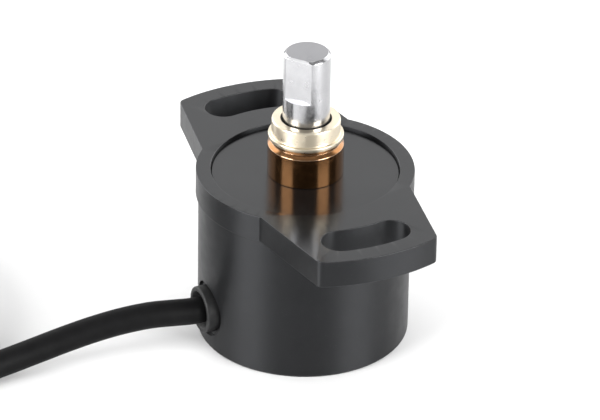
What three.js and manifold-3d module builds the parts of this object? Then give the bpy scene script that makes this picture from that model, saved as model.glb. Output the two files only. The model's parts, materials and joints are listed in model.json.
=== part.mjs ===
// Sealed rotary position sensor: a round housing with a slotted two-ear flange, a bronze
// bush that carries a D-ended shaft, a magnet and circuit board inside, and a side cable.
// Millimetres. +Z runs up the shaft, +X along the flange ears, and the cable leaves along -Y.
// The origin is the centre of the housing's base.
import * as THREE from 'three';
import { mergeVertices } from 'three/addons/utils/BufferGeometryUtils.js';
import Module from 'manifold-3d';

const wasm = await Module();
wasm.setup();

// Driving dimensions
const FACETS = 40; // sides of every turned piece
const GAP = 0.05; // between pieces that are pressed or bonded together
const RUNNING = 0.06; // radial clearance around the shaft

const BODY_R = 14.3;
const BODY_TOP = 20.45; // shoulder that carries the flange
const WALL = 2.3;
const EDGE = 0.4; // chamfer at the foot of the housing
const CEILING_Z = 19.2; // inside top of the housing
const SPIGOT_R = 12.6; // raised front disc that the flange is pressed around
const SPIGOT_TOP = 23.7;
const SPIGOT_EDGE = 0.2;

const FLANGE_TOP = 24.2;
const FLANGE_R = 14.65;
const EAR_R = 24.9; // tip of the ears
const EAR_HALF_ANGLE = THREE.MathUtils.degToRad(19.9);
const EAR_ROOT_ANGLE = THREE.MathUtils.degToRad(47.5);
const EAR_CORNER = 0.7;
const SLOT_R = 19.7; // curved slot, on its centre line
const SLOT_HALF_WIDTH = 2.55;
const SLOT_HALF_ANGLE = THREE.MathUtils.degToRad(10.5);

const SHAFT_R = 3.175; // a quarter-inch shaft
const SHAFT_FOOT = 13.3;
const SHAFT_TOP = 41.7;
const SHAFT_EDGE = 0.35;
const FLAT_DEPTH = 0.675; // how much the D flat takes off
const FLAT_FOOT = 35.3;
const FLAT_ANGLE = THREE.MathUtils.degToRad(-51.3); // direction the flat faces at rest
const CLIP_GROOVE_R = 2.75;
const CLIP_THICK = 0.6;
const LOWER_CLIP_Z = 16.35;
const UPPER_CLIP_Z = 27.2;

const BUSH_FOOT = 17.9;
const BUSH_TOP = 29.1;
const BUSH_R = 5.1; // visible boss
const BUSH_PRESS_R = 4.6; // inside the housing
const BUSH_LIP = 0.45; // chamfer at the top of the boss
const BUSH_NECK_FOOT = 28.5;
const HUB_R = 7.2; // thick wall around the bush
const HUB_FOOT = 18.3;

const SEAL_BRIM_R = 5.05;
const SEAL_BRIM_TOP = 29.7;
const SEAL_CASE_R = 4.6;
const SEAL_CASE_TOP = 31.85;
const SEAL_POCKET_R = 3.95; // counterbore in the bush
const SEAL_BORE_R = 3.65;

const LUG_RING_R = 10.2; // circle of the lugs and board screws
const LUG_R = 2;
const LUG_ANGLES = [90, 210, 330].map(THREE.MathUtils.degToRad);
const BOARD_FOOT = 7.75;
const BOARD_THICK = 1;
const BOARD_R = 11.7;
const BOARD_TOP = BOARD_FOOT + BOARD_THICK;
const SCREW_R = 0.7;

const CAP_R = 12.2;
const CAP_FOOT = 1.05;
const CAP_TOP = 2.6;
const O_RING_Z = 1.8; // groove around the cap
const O_RING_R = 0.39;
const GROOVE_HALF_HEIGHT = 0.45;
const GROOVE_DEPTH = 0.85;
const RING_GROOVE_R = 12.85; // groove of the retaining ring in the foot of the housing
const RING_GROOVE_TOP = 1;
const RING_INNER_R = 11.5;
const RING_EYE_R = 1.05;

const CABLE_R = 1.8;
const CABLE_Z = 5.5;
const CRIMP_R = 2.2;
const GLAND_R = 3.2;
const GLAND_FOOT = 11.8; // distances of the gland's two ends from the shaft axis
const GLAND_FACE = 15.35;
const GLAND_SEAT = 13.6; // spot face in the housing wall
const SEAT_R = 3.8;
const PORT_R = 2.65;

// Route of the cable from the gland to the coil, and of its free end
const LEAD_ROUTE = [
  [0, -14.9, 5.5],
  [0, -16.5, 5.55],
  [-0.3, -19, 5.7],
  [-0.85, -22, 5.75],
  [-1.6, -26, 5.3],
  [-2.2, -30, 4.55],
  [-2.55, -34, 3.7],
  [-2.65, -38, 2.9],
  [-2.5, -42, 2.3],
  [-2.15, -46, 1.95],
  [-1.7, -50.4, 1.88],
];
const TAIL_ROUTE = [
  [-44.4, -52.9, 3.75],
  [-44.7, -48.5, 2.4],
  [-44.95, -43.9, 1.85],
];
const CORE_R = 0.55;
const CORE_ROUTES = {
  core_red: [[-46.1, -43.5, 1.65], [-46.7, -39, 0.9], [-47.8, -33.5, 0.6]],
  core_black: [[-44.95, -43.5, 1.85], [-45, -38.5, 0.95], [-45.3, -32.2, 0.6]],
  core_white: [[-43.8, -43.5, 1.65], [-43.4, -39, 0.9], [-42.9, -33.4, 0.6]],
};
const COIL = { x: -22, y: -64, inner: 15.5, outer: 22.7, foot: 0.45, top: 7.65, edge: 1 };

const polar = (radius, angle) => [radius * Math.cos(angle), radius * Math.sin(angle)];

const group = new THREE.Group();

function add(name, geometry, color, roughness, metalness) {
  const mesh = new THREE.Mesh(geometry, new THREE.MeshStandardMaterial({ color, roughness, metalness }));
  mesh.name = name;
  group.add(mesh);
  return mesh;
}

const finishes = {
  anodised: [0x2e2f31, 0.38, 0.5],
  bronze: [0x6e4a2c, 0.35, 0.9],
  nickel: [0xcfc9b4, 0.22, 1],
  steel: [0xc9c9cb, 0.2, 1],
  springSteel: [0x8d8f92, 0.35, 1],
  blackRubber: [0x141414, 0.7, 0],
  brass: [0xb79b52, 0.35, 1],
  magnet: [0x3a3a3c, 0.45, 0.8],
  board: [0x1d5a33, 0.45, 0],
  chip: [0x17181a, 0.5, 0],
  ceramic: [0x9b8465, 0.5, 0],
  cable: [0x1c1c1d, 0.55, 0],
  tie: [0x20201f, 0.5, 0],
  red: [0xa81e1c, 0.45, 0],
  black: [0x18181a, 0.45, 0],
  white: [0xd9d7d0, 0.45, 0],
};

// A turned piece: the outline is [radius, height] pairs, up the outside and back down the inside.
function turned(outline, facets = FACETS) {
  const points = outline.map(([r, z]) => new THREE.Vector2(r, z));
  return new THREE.LatheGeometry(points, facets).rotateX(Math.PI / 2);
}

// The same as a ring with a bore: the outline closes on itself.
function turnedRing(outline, facets = FACETS) {
  return turned([...outline, outline[0]], facets);
}

function plainRing(inner, outer, foot, top, facets = FACETS) {
  return turnedRing([[outer, foot], [outer, top], [inner, top], [inner, foot]], facets);
}

function rod(radius, foot, top, facets = 24) {
  return turned([[0, foot], [radius, foot], [radius, top], [0, top]], facets);
}

function arc(radius, from, to, steps, cx = 0, cy = 0) {
  const points = [];
  for (let i = 0; i <= steps; i += 1) {
    const [x, y] = polar(radius, from + ((to - from) * i) / steps);
    points.push(new THREE.Vector2(cx + x, cy + y));
  }
  return points;
}

// A flat piece cut from a sheet, from height foot to height top.
function plate(outline, holes, foot, top) {
  const shape = new THREE.Shape(outline);
  shape.holes = holes.map((hole) => new THREE.Path(hole));
  const geometry = new THREE.ExtrudeGeometry(shape, { depth: top - foot, bevelEnabled: false });
  return geometry.translate(0, 0, foot);
}

function circle(radius, steps, cx = 0, cy = 0) {
  return arc(radius, 0, 2 * Math.PI, steps, cx, cy).slice(0, -1);
}

function tube(route, radius, sides, steps) {
  const curve = new THREE.CatmullRomCurve3(route.map((p) => new THREE.Vector3(...p)), false, 'centripetal');
  const section = new THREE.Shape(circle(radius, sides));
  return new THREE.ExtrudeGeometry(section, { extrudePath: curve, steps, bevelEnabled: false });
}

// Boolean cuts and joins
function toSolid(geometry) {
  const bare = geometry.clone();
  bare.deleteAttribute('normal');
  bare.deleteAttribute('uv');
  const merged = mergeVertices(bare);
  const corners = merged.index.array;
  const kept = [];
  for (let i = 0; i < corners.length; i += 3) {
    const [a, b, c] = corners.slice(i, i + 3);
    if (a !== b && b !== c && c !== a) kept.push(a, b, c);
  }
  const vertProperties = new Float32Array(merged.attributes.position.array);
  const triVerts = new Uint32Array(kept);
  return new wasm.Manifold(new wasm.Mesh({ numProp: 3, vertProperties, triVerts }));
}

function toGeometry(solid) {
  const { vertProperties, triVerts } = solid.getMesh();
  const geometry = new THREE.BufferGeometry();
  geometry.setAttribute('position', new THREE.BufferAttribute(new Float32Array(vertProperties), 3));
  geometry.setIndex([...triVerts]);
  return geometry;
}

function combine(base, joined, cuts) {
  let solid = toSolid(base);
  for (const piece of joined) solid = solid.add(toSolid(piece));
  for (const piece of cuts) solid = solid.subtract(toSolid(piece));
  return toGeometry(solid);
}

// Turns a piece made about +Z so that its axis points outward along -Y at the cable's height.
const alongCable = (geometry) => geometry.rotateX(Math.PI / 2).translate(0, 0, CABLE_Z);

function housing() {
  const inner = BODY_R - WALL;
  const mouth = CAP_R + 0.1;
  const shell = turnedRing([
    [BODY_R - EDGE, 0],
    [BODY_R, EDGE],
    [BODY_R, BODY_TOP],
    [SPIGOT_R, BODY_TOP],
    [SPIGOT_R, SPIGOT_TOP - SPIGOT_EDGE],
    [SPIGOT_R - SPIGOT_EDGE, SPIGOT_TOP],
    [BUSH_PRESS_R + GAP, SPIGOT_TOP],
    [BUSH_PRESS_R + GAP, HUB_FOOT],
    [HUB_R, HUB_FOOT],
    [HUB_R, CEILING_Z],
    [inner, CEILING_Z],
    [inner, CAP_TOP + GAP],
    [mouth, CAP_TOP + GAP],
    [mouth, RING_GROOVE_TOP],
    [RING_GROOVE_R, RING_GROOVE_TOP],
    [RING_GROOVE_R, EDGE],
    [mouth, EDGE],
    [mouth, 0],
  ]);
  const lugs = [];
  const cuts = [
    alongCable(rod(PORT_R, 10, 16, 32)),
    alongCable(rod(SEAT_R, GLAND_SEAT, 16, 32)),
  ];
  for (const angle of LUG_ANGLES) {
    const [x, y] = polar(LUG_RING_R, angle);
    lugs.push(rod(LUG_R, BOARD_TOP + GAP, CEILING_Z + 0.5).translate(x, y, 0));
    cuts.push(rod(SCREW_R + 0.1, BOARD_TOP - 1, BOARD_TOP + 5, 16).translate(x, y, 0));
  }
  add('housing', combine(shell, lugs, cuts), ...finishes.anodised);
}

// Half of the flange outline, from the middle of one round side across an ear to the other.
function earOutline(turn) {
  const cornerStep = EAR_CORNER / EAR_R;
  const corner = (side) => {
    const tip = new THREE.Vector2(...polar(EAR_R, turn + side * EAR_HALF_ANGLE));
    const root = new THREE.Vector2(...polar(FLANGE_R, turn + side * EAR_ROOT_ANGLE));
    const onSide = tip.clone().lerp(root, EAR_CORNER / tip.distanceTo(root));
    const onTip = new THREE.Vector2(...polar(EAR_R, turn + side * (EAR_HALF_ANGLE - cornerStep)));
    return new THREE.QuadraticBezierCurve(onSide, tip, onTip).getPoints(4);
  };
  const tipArc = EAR_HALF_ANGLE - cornerStep;
  return [
    ...arc(FLANGE_R, turn - Math.PI / 2, turn - EAR_ROOT_ANGLE, 10),
    ...corner(-1),
    ...arc(EAR_R, turn - tipArc, turn + tipArc, 12).slice(1, -1),
    ...corner(1).reverse(),
    ...arc(FLANGE_R, turn + EAR_ROOT_ANGLE, turn + Math.PI / 2, 10).slice(0, -1),
  ];
}

function slotOutline(turn) {
  const from = turn - SLOT_HALF_ANGLE;
  const to = turn + SLOT_HALF_ANGLE;
  return [
    ...arc(SLOT_R + SLOT_HALF_WIDTH, from, to, 10),
    ...arc(SLOT_HALF_WIDTH, to, to + Math.PI, 12, ...polar(SLOT_R, to)).slice(1, -1),
    ...arc(SLOT_R - SLOT_HALF_WIDTH, to, from, 10),
    ...arc(SLOT_HALF_WIDTH, from + Math.PI, from + 2 * Math.PI, 12, ...polar(SLOT_R, from)).slice(1, -1),
  ];
}

function mountingFlange() {
  const outline = [...earOutline(0), ...earOutline(Math.PI)];
  const holes = [circle(SPIGOT_R + GAP, FACETS), slotOutline(0), slotOutline(Math.PI)];
  add('mounting_flange', plate(outline, holes, BODY_TOP + 0.02, FLANGE_TOP), ...finishes.anodised);
}

function bearingBush() {
  const bore = SHAFT_R + RUNNING;
  const neck = BUSH_PRESS_R;
  add('bearing_bush', turnedRing([
    [BUSH_PRESS_R - 0.3, BUSH_FOOT],
    [BUSH_PRESS_R, BUSH_FOOT + 0.3],
    [BUSH_PRESS_R, SPIGOT_TOP + 0.02],
    [BUSH_R, SPIGOT_TOP + 0.02],
    [BUSH_R, BUSH_NECK_FOOT - BUSH_LIP],
    [BUSH_R - BUSH_LIP, BUSH_NECK_FOOT],
    [neck, BUSH_NECK_FOOT],
    [neck, BUSH_TOP],
    [SEAL_POCKET_R, BUSH_TOP],
    [SEAL_POCKET_R, UPPER_CLIP_Z - GAP],
    [bore, UPPER_CLIP_Z - GAP],
    [bore, BUSH_FOOT],
  ]), ...finishes.bronze);
}

function shaftSeal() {
  const spigotFoot = BUSH_TOP - 0.9;
  add('seal_case', turnedRing([
    [SEAL_POCKET_R - 0.07, spigotFoot],
    [SEAL_POCKET_R - 0.07, BUSH_TOP + 0.02],
    [SEAL_BRIM_R, BUSH_TOP + 0.02],
    [SEAL_BRIM_R, SEAL_BRIM_TOP],
    [SEAL_CASE_R, SEAL_BRIM_TOP],
    [SEAL_CASE_R, SEAL_CASE_TOP - 0.12],
    [SEAL_CASE_R - 0.12, SEAL_CASE_TOP],
    [SEAL_BORE_R, SEAL_CASE_TOP],
    [SEAL_BORE_R, spigotFoot],
  ]), ...finishes.nickel);
  const lip = SHAFT_R + RUNNING;
  const outer = SEAL_BORE_R - GAP;
  const waist = lip + 0.15;
  add('shaft_seal', turnedRing([
    [outer, spigotFoot],
    [outer, SEAL_CASE_TOP - 0.15],
    [lip, SEAL_CASE_TOP - 0.3],
    [lip, SEAL_CASE_TOP - 0.7],
    [waist, SEAL_CASE_TOP - 1],
    [waist, spigotFoot + 1],
    [lip, spigotFoot + 0.7],
    [lip, spigotFoot],
  ]), ...finishes.blackRubber);
}

function shaft() {
  const groove = (foot) => [
    [SHAFT_R, foot - 0.05],
    [CLIP_GROOVE_R, foot - 0.05],
    [CLIP_GROOVE_R, foot + CLIP_THICK + 0.05],
    [SHAFT_R, foot + CLIP_THICK + 0.05],
  ];
  const turnedShaft = turned([
    [0, SHAFT_FOOT],
    [SHAFT_R - 0.3, SHAFT_FOOT],
    [SHAFT_R, SHAFT_FOOT + 0.3],
    ...groove(LOWER_CLIP_Z),
    ...groove(UPPER_CLIP_Z),
    [SHAFT_R, SHAFT_TOP - SHAFT_EDGE],
    [SHAFT_R - SHAFT_EDGE, SHAFT_TOP],
    [0, SHAFT_TOP],
  ]);
  const height = SHAFT_TOP - FLAT_FOOT + 1;
  const cutter = new THREE.BoxGeometry(4, 2 * BODY_R, height);
  cutter.translate(SHAFT_R - FLAT_DEPTH + 2, 0, FLAT_FOOT + height / 2).rotateZ(FLAT_ANGLE);
  add('shaft', combine(turnedShaft, [], [cutter]), ...finishes.steel);
}

function shaftClip(name, foot, outer) {
  const from = THREE.MathUtils.degToRad(25);
  const to = 2 * Math.PI - from;
  const outline = [...arc(outer, from, to, 32), ...arc(CLIP_GROOVE_R + GAP, to, from, 32)];
  add(name, plate(outline, [], foot, foot + CLIP_THICK), ...finishes.springSteel);
}

function washers() {
  const bore = SHAFT_R + 0.1;
  const foot = LOWER_CLIP_Z + CLIP_THICK + 0.07;
  add('thrust_washer', plainRing(bore, 5, foot, foot + 0.4), ...finishes.steel);
  const wave = plate(circle(4.8, 36), [circle(bore, 36)], foot + 0.55, foot + 0.7);
  const position = wave.attributes.position;
  for (let i = 0; i < position.count; i += 1) {
    const angle = Math.atan2(position.getY(i), position.getX(i));
    position.setZ(i, position.getZ(i) + 0.1 * Math.sin(3 * angle));
  }
  add('wave_washer', wave, ...finishes.springSteel);
}

function magnetAndHolder() {
  const holderR = 4.6;
  const foot = 10.8;
  const top = 16.1;
  const magnetR = 3.5;
  const magnetTop = 12.65;
  const screwZ = 14.7;
  const holder = turned([
    [0, magnetTop + GAP],
    [magnetR + GAP, magnetTop + GAP],
    [magnetR + GAP, foot],
    [holderR, foot],
    [holderR, top],
    [SHAFT_R + 0.03, top],
    [SHAFT_R + 0.03, SHAFT_FOOT - GAP],
    [0, SHAFT_FOOT - GAP],
  ]);
  const radial = (geometry) => geometry.rotateY(Math.PI / 2).translate(0, 0, screwZ);
  add('magnet_holder', combine(holder, [], [radial(rod(0.8, 2, 6, 24))]), ...finishes.brass);
  add('magnet', rod(magnetR, foot + GAP, magnetTop, FACETS), ...finishes.magnet);
  const socket = radial(rod(0.4, 3.9, 5, 6));
  add('hub_set_screw', combine(radial(rod(0.75, 3.3, 4.5, 24)), [], [socket]), ...finishes.springSteel);
}

function circuitBoard() {
  const holes = LUG_ANGLES.map((angle) => circle(SCREW_R + 0.15, 16, ...polar(LUG_RING_R, angle)));
  add('circuit_board', plate(circle(BOARD_R, 36), holes, BOARD_FOOT, BOARD_TOP), ...finishes.board);
  // name, size along x, y and z, place on the board, finish
  const parts = [
    ['hall_sensor', 5, 4, 1, 0, 0, finishes.chip],
    ['regulator_chip', 2.9, 1.6, 1, -6.2, 1.5, finishes.chip],
    ['surge_diode', 3.4, 1.8, 1.1, 6.2, 2.6, finishes.chip],
    ['capacitor_input', 1.25, 2, 0.8, -6.4, -2.4, finishes.ceramic],
    ['capacitor_output', 1.25, 2, 0.8, 6.4, -2.2, finishes.ceramic],
  ];
  for (const [name, width, depth, height, x, y, finish] of parts) {
    const block = new THREE.BoxGeometry(width, depth, height);
    add(name, block.translate(x, y, BOARD_TOP + GAP + height / 2), ...finish);
  }
}

function boardScrews() {
  const headTop = BOARD_FOOT - 0.02;
  LUG_ANGLES.forEach((angle, i) => {
    const screw = turned([
      [0, headTop - 0.85],
      [1.1, headTop - 0.85],
      [1.3, headTop - 0.65],
      [1.3, headTop],
      [SCREW_R, headTop],
      [SCREW_R, BOARD_TOP + 4],
      [0, BOARD_TOP + 4],
    ], 24);
    const socket = rod(0.5, headTop - 1, headTop - 0.35, 6);
    const geometry = combine(screw, [], [socket]).translate(...polar(LUG_RING_R, angle), 0);
    add(`board_screw_${i + 1}`, geometry, ...finishes.springSteel);
  });
}

function innerWires() {
  const wires = { wire_supply: [-1, finishes.red], wire_signal: [0, finishes.white], wire_ground: [1, finishes.black] };
  for (const [name, [side, finish]] of Object.entries(wires)) {
    const route = [
      [0.95 * side, -8.2, CABLE_Z],
      [1.2 * side, -6.8, CABLE_Z + 0.1],
      [1.9 * side, -5.2, CABLE_Z + 0.5],
      [2.3 * side, -4, CABLE_Z + 1.2],
      [2.4 * side, -3.6, BOARD_FOOT - GAP],
    ];
    add(name, tube(route, 0.4, 8, 10), ...finish);
  }
}

function baseClosure() {
  const grooveR = CAP_R - GROOVE_DEPTH;
  add('base_cap', turned([
    [0, CAP_FOOT],
    [CAP_R, CAP_FOOT],
    [CAP_R, O_RING_Z - GROOVE_HALF_HEIGHT],
    [grooveR, O_RING_Z - GROOVE_HALF_HEIGHT],
    [grooveR, O_RING_Z + GROOVE_HALF_HEIGHT],
    [CAP_R, O_RING_Z + GROOVE_HALF_HEIGHT],
    [CAP_R, CAP_TOP],
    [0, CAP_TOP],
  ]), ...finishes.anodised);
  const middle = CAP_R - GROOVE_DEPTH / 2;
  const section = arc(O_RING_R, 0, 2 * Math.PI, 6).map((p) => [middle + p.x, O_RING_Z + p.y]);
  add('base_o_ring', turned(section), ...finishes.blackRubber);
  retainingRing();
}

// An internal retaining ring with two eyes for the pliers.
function retainingRing() {
  const halfOpening = THREE.MathUtils.degToRad(9);
  const eye = polar(RING_INNER_R - RING_EYE_R / 2, halfOpening + 0.09);
  const outline = [
    ...arc(RING_GROOVE_R - 0.1, halfOpening, 2 * Math.PI - halfOpening, 48),
    ...arc(RING_INNER_R, 2 * Math.PI - halfOpening, halfOpening, 48),
  ];
  const [foot, top] = [EDGE + GAP, RING_GROOVE_TOP - GAP];
  const sides = [1, -1];
  const eyes = sides.map((side) => rod(RING_EYE_R, foot, top).translate(eye[0], side * eye[1], 0));
  const holes = sides.map((side) => rod(RING_EYE_R / 2, 0, 2, 16).translate(eye[0], side * eye[1], 0));
  add('base_ring', combine(plate(outline, [], foot, top), eyes, holes), ...finishes.springSteel);
}

function cableEntry() {
  const bore = CABLE_R + 0.1;
  add('cable_gland', alongCable(turnedRing([
    [PORT_R - GAP, GLAND_FOOT],
    [PORT_R - GAP, GLAND_SEAT + GAP],
    [GLAND_R, GLAND_SEAT + GAP],
    [GLAND_R, GLAND_FACE - 0.3],
    [GLAND_R - 0.3, GLAND_FACE],
    [GLAND_R - 0.6, GLAND_FACE],
    [CABLE_R + 0.3, GLAND_FACE - 1],
    [bore, GLAND_FACE - 1.1],
    [bore, GLAND_FOOT],
  ], 32)), ...finishes.blackRubber);
  add('cable_crimp', alongCable(plainRing(CABLE_R + GAP, CRIMP_R, 9.7, 11.1, 32)), ...finishes.brass);
  add('cable_inner', alongCable(rod(CABLE_R, 8.6, 14.6)), ...finishes.cable);
}

function cable() {
  add('cable_lead', tube(LEAD_ROUTE, CABLE_R, 8, 10), ...finishes.cable);
  add('cable_tail', tube(TAIL_ROUTE, CABLE_R, 8, 3), ...finishes.cable);
  const { x, y, inner, outer, foot, top, edge } = COIL;
  add('cable_coil', turnedRing([
    [outer - edge, foot],
    [outer, foot + edge],
    [outer, top - edge],
    [outer - edge, top],
    [inner + edge, top],
    [inner, top - edge],
    [inner, foot + edge],
    [inner + edge, foot],
  ], 48).translate(x, y, 0), ...finishes.cable);
  for (const [name, route] of Object.entries(CORE_ROUTES)) {
    add(name, tube(route, CORE_R, 8, 5), ...finishes[name.replace('core_', '')]);
  }
}

function cableTie() {
  const { x, y, inner, outer, foot, top } = COIL;
  const beside = 0.3; // clearance at the sides of the coil
  const band = 0.38;
  const width = 2.4;
  const head = { size: 3.4, height: 1.8 };
  const box = (x0, x1, z0, z1, depth) =>
    new THREE.BoxGeometry(x1 - x0, depth, z1 - z0).translate((x0 + x1) / 2, 0, (z0 + z1) / 2);
  const [x0, x1, z0, z1] = [inner - beside, outer + beside, foot - GAP, top + GAP];
  const loop = combine(
    box(x0 - band, x1 + band, z0 - band, z1 + band, width),
    [box(x1 - head.size, x1, z1, z1 + head.height, head.size)],
    [box(x0, x1, z0, z1, 2 * width)],
  );
  add('cable_tie', loop.rotateZ(THREE.MathUtils.degToRad(250)).translate(x, y, 0), ...finishes.tie);
}

housing();
mountingFlange();
bearingBush();
shaftSeal();
shaft();
shaftClip('lower_clip', LOWER_CLIP_Z, 4.3);
shaftClip('upper_clip', UPPER_CLIP_Z, 3.8);
washers();
magnetAndHolder();
circuitBoard();
boardScrews();
innerWires();
baseClosure();
cableEntry();
cable();
cableTie();

export default group;
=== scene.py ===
# Looks of the sealed rotary position sensor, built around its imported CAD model.
# Dimensions are millimetres and are turned into metres when a mesh is made. The places of the
# camera and lamps, the lamps' sizes and the floor are metres.
# +Z runs up the shaft, +X along the flange ears, and the cable leaves along -Y.
import json
import math

import bmesh
import bpy
from mathutils import Matrix, Vector


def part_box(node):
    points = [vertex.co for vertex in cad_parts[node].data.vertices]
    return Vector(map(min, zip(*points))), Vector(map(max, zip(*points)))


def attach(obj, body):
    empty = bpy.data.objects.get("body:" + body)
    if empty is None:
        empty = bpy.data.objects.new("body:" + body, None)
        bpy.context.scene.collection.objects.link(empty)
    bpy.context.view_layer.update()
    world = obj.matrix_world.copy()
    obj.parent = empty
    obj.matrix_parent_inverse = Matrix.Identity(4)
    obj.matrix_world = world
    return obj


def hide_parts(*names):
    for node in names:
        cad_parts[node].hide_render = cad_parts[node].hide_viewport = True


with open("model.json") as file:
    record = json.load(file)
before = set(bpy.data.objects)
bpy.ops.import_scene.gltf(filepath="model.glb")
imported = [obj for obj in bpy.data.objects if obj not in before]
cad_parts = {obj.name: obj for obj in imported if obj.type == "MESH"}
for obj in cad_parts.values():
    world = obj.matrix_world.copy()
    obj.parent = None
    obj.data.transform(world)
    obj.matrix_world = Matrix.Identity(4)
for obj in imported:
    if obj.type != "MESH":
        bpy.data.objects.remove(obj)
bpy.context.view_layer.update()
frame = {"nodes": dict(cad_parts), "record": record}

MM = 0.001
SEGMENTS = 192  # around a turned piece
ROD_SEGMENTS = 96
CORNER_STEPS = 4  # facets in each rounded edge
SHARP_ANGLE = math.radians(35)

CAMERA_AZIMUTH = math.radians(65.57)
CAMERA_ELEVATION = math.radians(30.22)
CAMERA_ROLL = math.radians(0.96)
CAMERA_DISTANCE = 0.5938
CAMERA_LENS = 265.5
AIM = Vector((0, -0.00068, 0.01775))

WORLD_STRENGTH = 0.36
# Degrees to the right of the camera, degrees up, distance and size in metres, and radiance
SOFTBOXES = {
    "left_softbox": (-56, 20, 0.6, 0.34, 15.5),
    "right_softbox": (56, 20, 0.6, 0.34, 15),
    "left_rim_softbox": (-128, 22, 0.75, 0.6, 3.2),
    "right_rim_softbox": (130, 22, 0.75, 0.6, 2.8),
    "back_softbox": (180, 33, 0.8, 0.7, 1.3),
    "top_softbox": (0, 86, 0.8, 0.6, 0.9),
}
FLOOR_REACH = 3  # from the middle of the floor to each edge

slot_of = {part["node"]: part["material_slot"] for part in frame["record"]["subparts"]}


def corners(node):
    """A node's lowest and highest corner, in millimetres."""
    low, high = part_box(node)
    return low / MM, high / MM


# Corners of the CAD nodes that the pieces are fitted to
housing_high = corners("housing")[1]
flange_low, flange_high = corners("mounting_flange")
bush_low, bush_high = corners("bearing_bush")
case_low, case_high = corners("seal_case")
seal_low = corners("shaft_seal")[0]
shaft_low, shaft_high = corners("shaft")
cap_low, cap_high = corners("base_cap")
ring_low, ring_high = corners("base_ring")
board_high = corners("circuit_board")[1]
gland_low, gland_high = corners("cable_gland")
coil_low, coil_high = corners("cable_coil")

# Dimensions that the boxes don't give. Most repeat the CAD's, and the rolled rim, the dimple
# and the edge of the flange are only seen here.
CLEARANCE = 0.05  # between pieces that touch or are pressed together
SEATING = 0.02  # between a piece and the face that it sits on
RUNNING = 0.06  # around the shaft, and around the cable in its gland

BODY_R = housing_high.x
SHOULDER_Z = flange_low.z - SEATING
SPIGOT_R = 12.6
SPIGOT_TOP = housing_high.z
CEILING_Z = 19.2
WALL = 2.3
FOOT_EDGE = 0.4
BUSH_PRESS_R = 4.6
HUB_R = 7.2
HUB_FOOT = 18.3
MOUTH_CLEARANCE = 0.1  # around the base cap
RING_GROOVE_DEPTH = 0.55
LUG_RING_R = 10.2  # circle of the lugs and board screws
LUG_R = 2
LUG_OVERLAP = 0.5  # how far a lug reaches into the ceiling
LUG_ANGLES = [math.radians(degrees) for degrees in (90, 210, 330)]
SCREW_R = 0.7
SCREW_CLEARANCE = 0.1
SCREW_DEPTH = 4.95

FLANGE_R = 14.65
EAR_R = flange_high.x
EAR_HALF_ANGLE = math.radians(19.9)
EAR_ROOT_ANGLE = math.radians(47.5)
EAR_CORNER = 0.7
FLANGE_EDGE = 0.1
SLOT_R = 19.7
SLOT_HALF_WIDTH = 2.55
SLOT_HALF_ANGLE = math.radians(10.5)

BUSH_R = bush_high.x
NECK_FOOT = 28.5
BUSH_LIP = 0.45
BRIM_R = case_high.x
BRIM_TOP = 29.7
CASE_R = 4.6
SEAL_POCKET_R = 3.95
SEAL_POCKET_FOOT = 27.15
SEAL_PRESS_CLEARANCE = 0.07
SEAL_BORE_R = 3.65
RIM_BORE_R = 3.42  # the rim of the seal case, rolled in over the rubber
RIM_THICK = 0.25

SHAFT_R = shaft_high.y
SHAFT_EDGE = 0.35
FLAT_REACH = 2.5  # from the axis to the flat
FLAT_FOOT = 35.3
FLAT_ANGLE = math.radians(-51.3)
CLIP_GROOVE_R = 2.75
CLIP_GROOVE_FEET = (16.3, 27.15)
CLIP_GROOVE_HEIGHT = 0.7

O_RING_GROOVE_DEPTH = 0.85
O_RING_GROOVE_FOOT = 1.35
O_RING_GROOVE_TOP = 2.25
DIMPLE_R = 3.2  # shallow dimple in the base cap
DIMPLE_RIM_R = 3.9
DIMPLE_DEPTH = 0.45

CABLE_R = 1.8
CABLE_Z = 5.5
GLAND_R = gland_high.x
GLAND_FACE = -gland_low.y
GLAND_FOOT = 11.8
GLAND_SEAT = 13.6
SEAT_R = 3.8
PORT_R = 2.65
INSIDE_WALL = 10  # distances from the shaft axis, clear of the wall on both sides
OUTSIDE_WALL = 16

# The cable's route outside the gland, as in the CAD, with its last stretch up to the coil
LEAD_ROUTE = [
    (0, -14.9, 5.5),
    (0, -16.5, 5.55),
    (-0.3, -19, 5.7),
    (-0.85, -22, 5.75),
    (-1.6, -26, 5.3),
    (-2.2, -30, 4.55),
    (-2.55, -34, 3.7),
    (-2.65, -38, 2.9),
    (-2.5, -42, 2.3),
    (-2.15, -46, 1.95),
    (-1.7, -50.4, 1.88),
    (-1.35, -55, 1.9),
    (-1.15, -59.5, 1.95),
]
TAIL_ROUTE = [
    (-43.8, -59.3, 5.35),
    (-44.05, -56, 4.65),
    (-44.4, -52.9, 3.75),
    (-44.7, -48.5, 2.4),
    (-44.95, -43.9, 1.85),
]
ROUTE_STEPS = 8  # points made between two points of a route

CORE_R = 0.55
CORE_START = 1.2  # how far inside the jacket a core begins
STRIPPED = 3.2
OUTER_STRANDS = 6  # twisted round one straight strand
STRAND_R = 0.13
STRAND_SPREAD = 0.25
STRAND_TURNS = 1.1
STRAND_STEPS = 24
STRAND_SIDES = 8
CORE_ROUTES = {
    "core_red": [(-46.1, -43.5, 1.65), (-46.7, -39, 0.9), (-47.8, -33.5, 0.6)],
    "core_black": [(-44.95, -43.5, 1.85), (-45, -38.5, 0.95), (-45.3, -32.2, 0.6)],
    "core_white": [(-43.8, -43.5, 1.65), (-43.4, -39, 0.9), (-42.9, -33.4, 0.6)],
}
COIL_X = (coil_low.x + coil_high.x) / 2
COIL_Y = (coil_low.y + coil_high.y) / 2
COIL_OUTER = coil_high.x - COIL_X - CABLE_R
COIL_INNER = COIL_OUTER - 2 * CABLE_R
COIL_TURNS = 3.486
COIL_STEPS = 48  # in each turn
STEP_IN = (0.8, 1.0)  # the turns over which the cable moves to the inner row
STEP_UP = (1.6, 1.8)  # up to the top layer
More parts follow.
